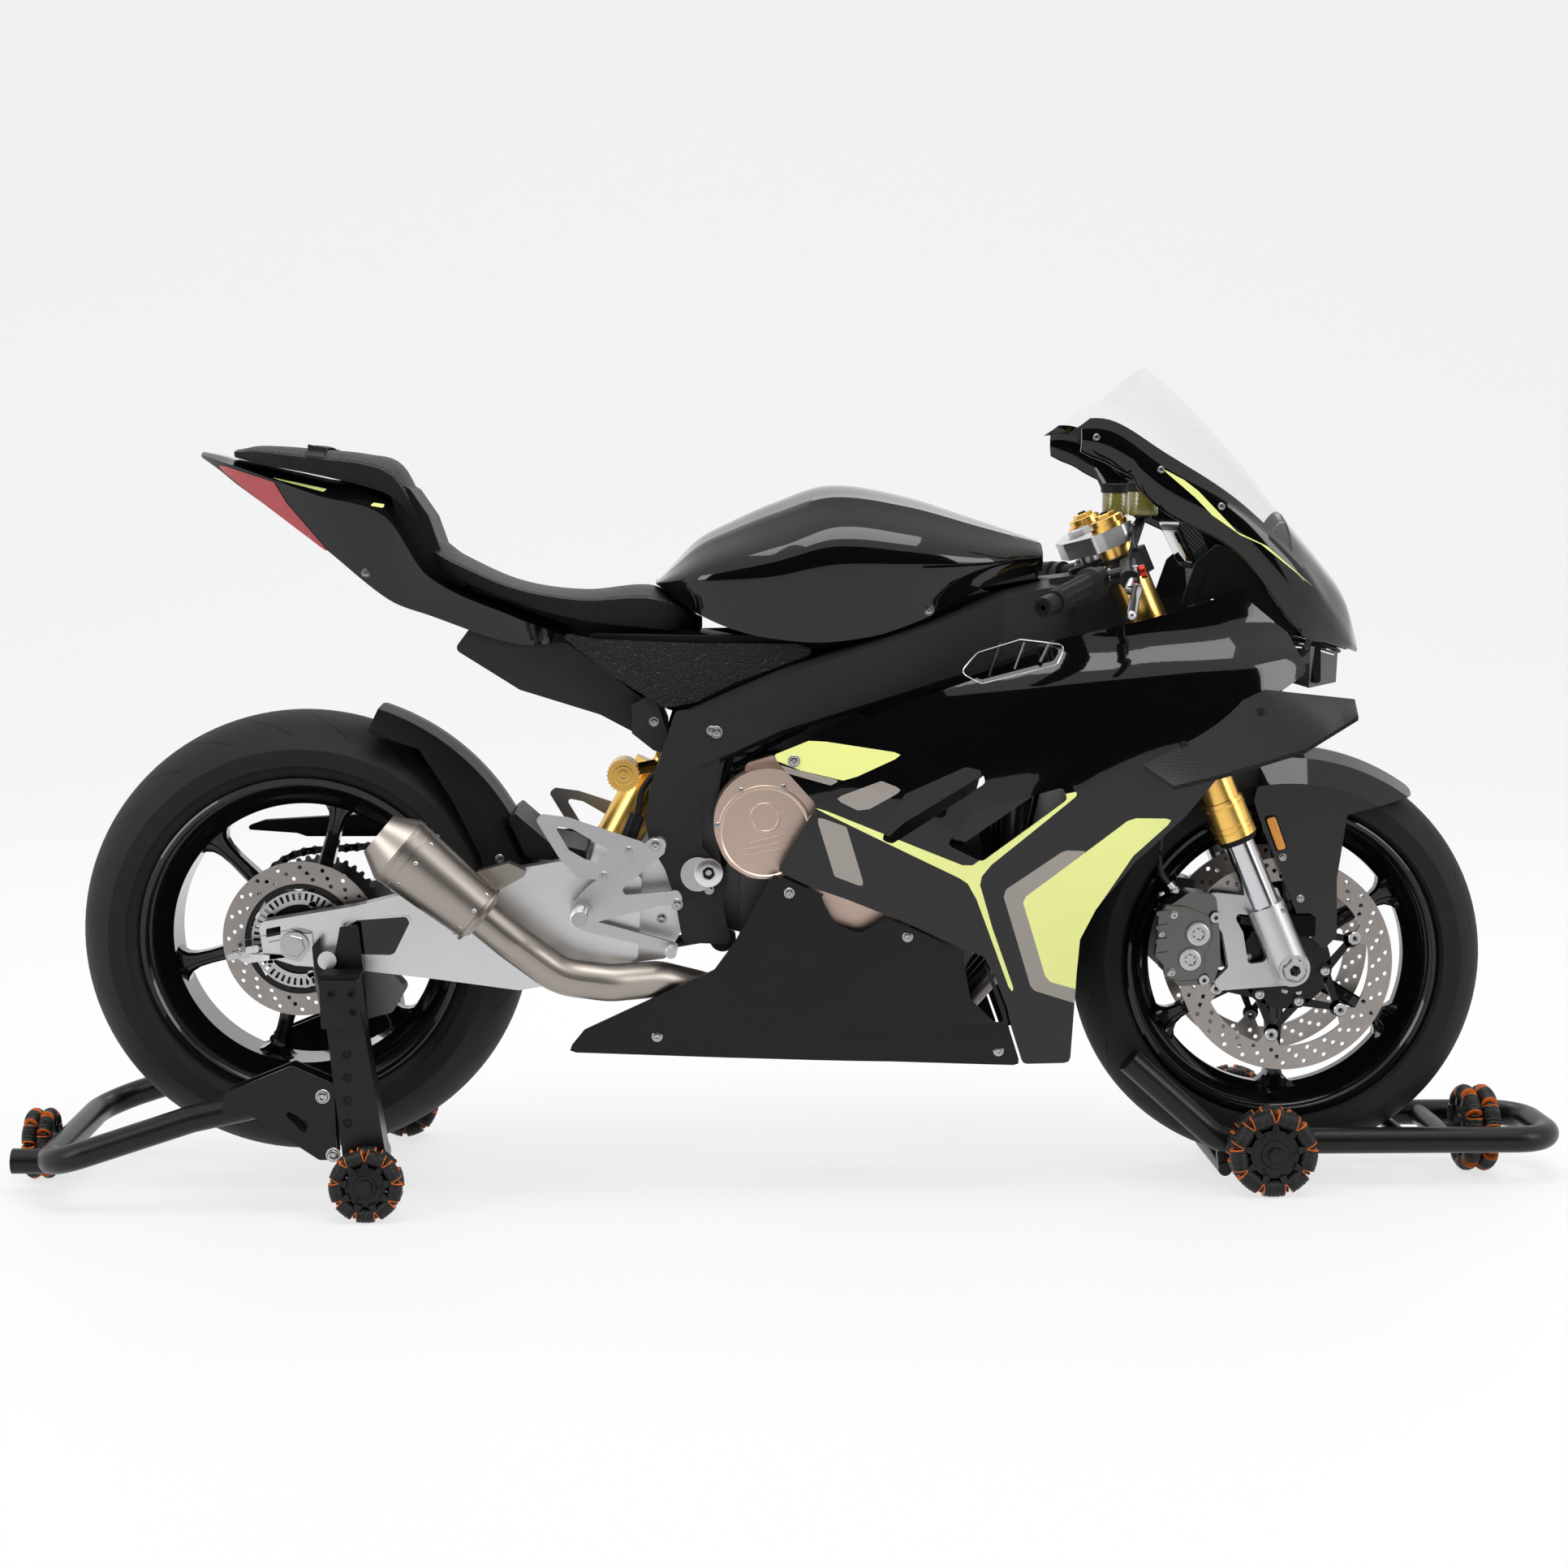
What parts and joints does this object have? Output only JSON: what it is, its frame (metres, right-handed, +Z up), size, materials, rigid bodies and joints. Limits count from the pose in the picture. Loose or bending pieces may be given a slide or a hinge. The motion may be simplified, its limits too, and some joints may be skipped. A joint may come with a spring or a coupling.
{
  "type": "sport motorcycle on paddock stands",
  "caption": "Faired sport motorcycle held upright by a rear paddock stand and a front wheel dolly, with free wheels, steering and a folding side stand.",
  "frame": {"origin": "On the floor, at the middle of the footprint.", "axes": "+X is forward, +Y is the rider's left, +Z is up."},
  "size_m": [2.2449, 0.7198, 1.1763],
  "materials": {
    "bright_alloy": "brushed",
    "bronze_cover": "bronze satin",
    "caliper_grey": "hard anodised",
    "carbon": "carbon weave",
    "cast_alloy": "satin cast",
    "chrome_tube": "polished",
    "clear_screen": "clear",
    "dark_metal": "dark cast",
    "disc_steel": "ground",
    "gloss_black": "gloss",
    "gold_anodised": "gold anodised",
    "grip_rubber": "matt",
    "lamp_black": "gloss",
    "lime_and_black": "gloss black with lime and taupe stripes",
    "red_lens": "red lens",
    "roller_black": "rubber rollers with orange rings",
    "satin_black": "satin",
    "seat_leather": "grained black",
    "smoked_pot": "smoked amber",
    "stand_black": "powder coat",
    "textured_black": "textured satin",
    "titanium": "bead blasted titanium",
    "tyre_rubber": "matt",
    "wheel_black": "gloss"
  },
  "bodies": {
    "chassis": {"frame_beams": "textured_black", "subframe": "textured_black", "swingarm": "bright_alloy", "rear_axle_and_pivot": "bright_alloy", "drive_chain": "dark_metal", "engine_block": "dark_metal", "engine_covers": "bronze_cover", "radiator": "dark_metal", "exhaust_pipes": "titanium", "muffler": "titanium", "rear_shock": "gold_anodised", "side_fairings": "lime_and_black", "belly_pans": "satin_black", "winglets": "carbon", "windscreen": "clear_screen", "upper_cowl": "lime_and_black", "headlight": "lamp_black", "instrument_panel": "gloss_black", "fuel_tank": "gloss_black", "tank_cover": "satin_black", "rider_seat": "seat_leather", "pillion_seat": "seat_leather", "tail_cowl": "gloss_black", "tail_light": "red_lens", "side_panels": "satin_black", "rear_hugger": "satin_black", "rearset_plates": "cast_alloy", "foot_controls": "cast_alloy", "rear_caliper": "caliper_grey", "rear_stand_frame": "stand_black", "stand_socket": "stand_black", "rear_stand_lifts": "bright_alloy"},
    "rear_wheel": {"rear_tyre": "tyre_rubber", "rear_rim": "wheel_black", "rear_disc": "disc_steel", "rear_sprocket": "dark_metal"},
    "steering": {"fork_outers": "gold_anodised", "fork_stanchions": "chrome_tube", "fork_lugs": "cast_alloy", "triple_clamps": "cast_alloy", "clip_ons": "gloss_black", "grips": "grip_rubber", "levers": "cast_alloy", "brake_reservoirs": "smoked_pot", "front_calipers": "caliper_grey", "front_fender": "gloss_black", "front_axle": "bright_alloy", "dolly_frame": "stand_black"},
    "front_wheel": {"front_tyre": "tyre_rubber", "front_rim": "wheel_black", "front_discs": "disc_steel"},
    "side_stand": {"side_stand": "textured_black"},
    "stand_wheel_left": {"stand_wheel_left": "roller_black"},
    "stand_wheel_right": {"stand_wheel_right": "roller_black"},
    "stand_wheel_rear": {"stand_wheel_rear": "roller_black"},
    "dolly_wheel_left": {"dolly_wheel_left": "roller_black"},
    "dolly_wheel_right": {"dolly_wheel_right": "roller_black"},
    "dolly_wheel_front": {"dolly_wheel_front": "roller_black"}
  },
  "joints": [
    {"name": "rear_wheel_spin", "type": "hinge", "parent": "chassis", "child": "rear_wheel", "pos_m": [-0.7045, 0, 0.365], "axis": [0, 1, 0], "continuous": true},
    {"name": "steer", "type": "hinge", "parent": "chassis", "child": "steering", "pos_m": [0.67878, 0, 0.31193], "axis": [-0.3955, 0, 0.9184], "range_deg": [-25, 25]},
    {"name": "front_wheel_spin", "type": "hinge", "parent": "steering", "child": "front_wheel", "pos_m": [0.7045, 0, 0.323], "axis": [0, 1, 0], "continuous": true},
    {"name": "stand_wheel_left_spin", "type": "hinge", "parent": "chassis", "child": "stand_wheel_left", "pos_m": [-0.5965, 0.25, 0.051], "axis": [0, 1, 0], "continuous": true},
    {"name": "stand_wheel_right_spin", "type": "hinge", "parent": "chassis", "child": "stand_wheel_right", "pos_m": [-0.5965, -0.25, 0.051], "axis": [0, 1, 0], "continuous": true},
    {"name": "stand_wheel_rear_spin", "type": "hinge", "parent": "chassis", "child": "stand_wheel_rear", "pos_m": [-1.0965, 0, 0.051], "axis": [1, 0, 0], "continuous": true},
    {"name": "dolly_wheel_left_spin", "type": "hinge", "parent": "steering", "child": "dolly_wheel_left", "pos_m": [0.6765, 0.14, 0.0635], "axis": [0, 1, 0], "continuous": true},
    {"name": "dolly_wheel_right_spin", "type": "hinge", "parent": "steering", "child": "dolly_wheel_right", "pos_m": [0.6765, -0.14, 0.0635], "axis": [0, 1, 0], "continuous": true},
    {"name": "dolly_wheel_front_spin", "type": "hinge", "parent": "steering", "child": "dolly_wheel_front", "pos_m": [1.0085, 0, 0.0635], "axis": [1, 0, 0], "continuous": true},
    {"name": "side_stand_hinge", "type": "hinge", "parent": "chassis", "child": "side_stand", "pos_m": [-0.1045, 0.166, 0.33], "axis": [0, 1, 0], "range_deg": [-95, 0]}
  ]
}
